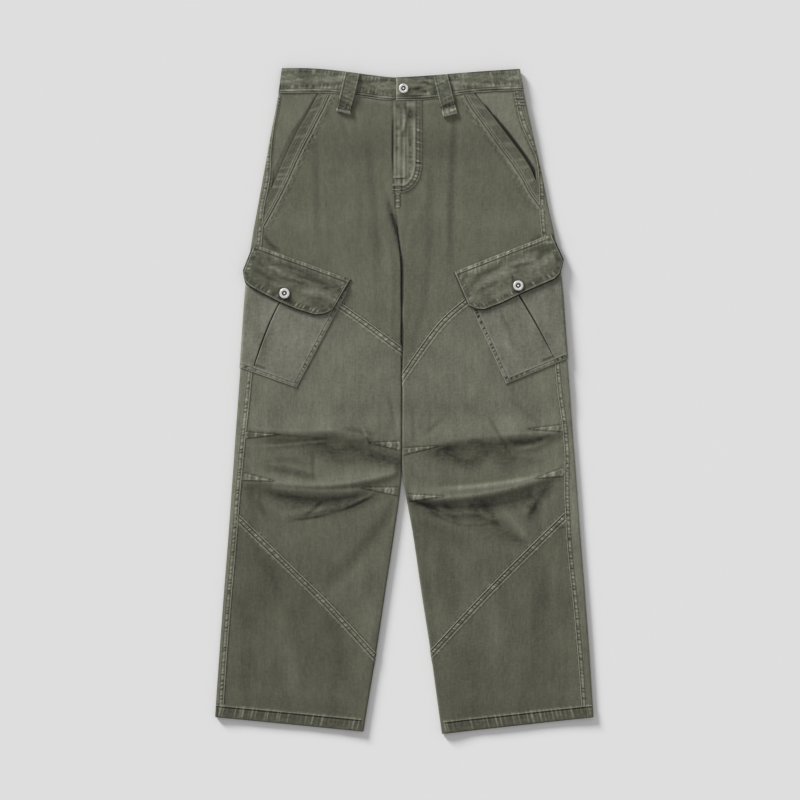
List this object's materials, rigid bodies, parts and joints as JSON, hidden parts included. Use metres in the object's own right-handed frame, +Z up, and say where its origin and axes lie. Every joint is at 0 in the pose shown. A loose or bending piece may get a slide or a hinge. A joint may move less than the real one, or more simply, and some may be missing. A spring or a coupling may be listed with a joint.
{
  "type": "cargo pants laid flat",
  "caption": "Wide-leg cotton twill cargo pants lying flat on their back, with flapped side pockets, slanted hand pockets, diagonal leg seams and stitched knee darts.",
  "frame": {"origin": "centre of the bounding box, at the surface that the trousers lie on", "axes": "+X towards the wearer's left side, +Y from the hems to the waist, +Z up out of the front of the trousers"},
  "size_m": [0.5965, 1.0492, 0.016],
  "materials": {
    "waistband": "washed olive-grey cotton twill, worn light along the edges",
    "leg": "washed olive-grey cotton twill",
    "hip": "washed olive-grey cotton twill",
    "pocket": "washed olive-grey cotton twill, a little lighter than the legs",
    "button": "satin silver metal"
  },
  "bodies": {
    "root": {"waistband_right": "waistband", "waistband_left": "waistband", "belt_loop_front_right": "waistband", "belt_loop_front_left": "waistband", "belt_loop_back_right": "waistband", "belt_loop_back_centre": "waistband", "belt_loop_back_left": "waistband", "back_right": "leg", "back_left": "leg", "knee_front_right": "leg", "knee_front_left": "leg", "shin_front_right": "leg", "shin_front_left": "leg", "hip_front_right": "hip", "hip_front_left": "hip", "pocket_facing_right": "hip", "pocket_facing_left": "hip", "pocket_band_right": "hip", "pocket_band_left": "hip", "fly_placket": "hip", "cargo_pocket_right": "pocket", "cargo_pocket_left": "pocket", "cargo_flap_right": "pocket", "cargo_flap_left": "pocket", "button_waist": "button", "button_pocket_right": "button", "button_pocket_left": "button"}
  },
  "joints": []
}
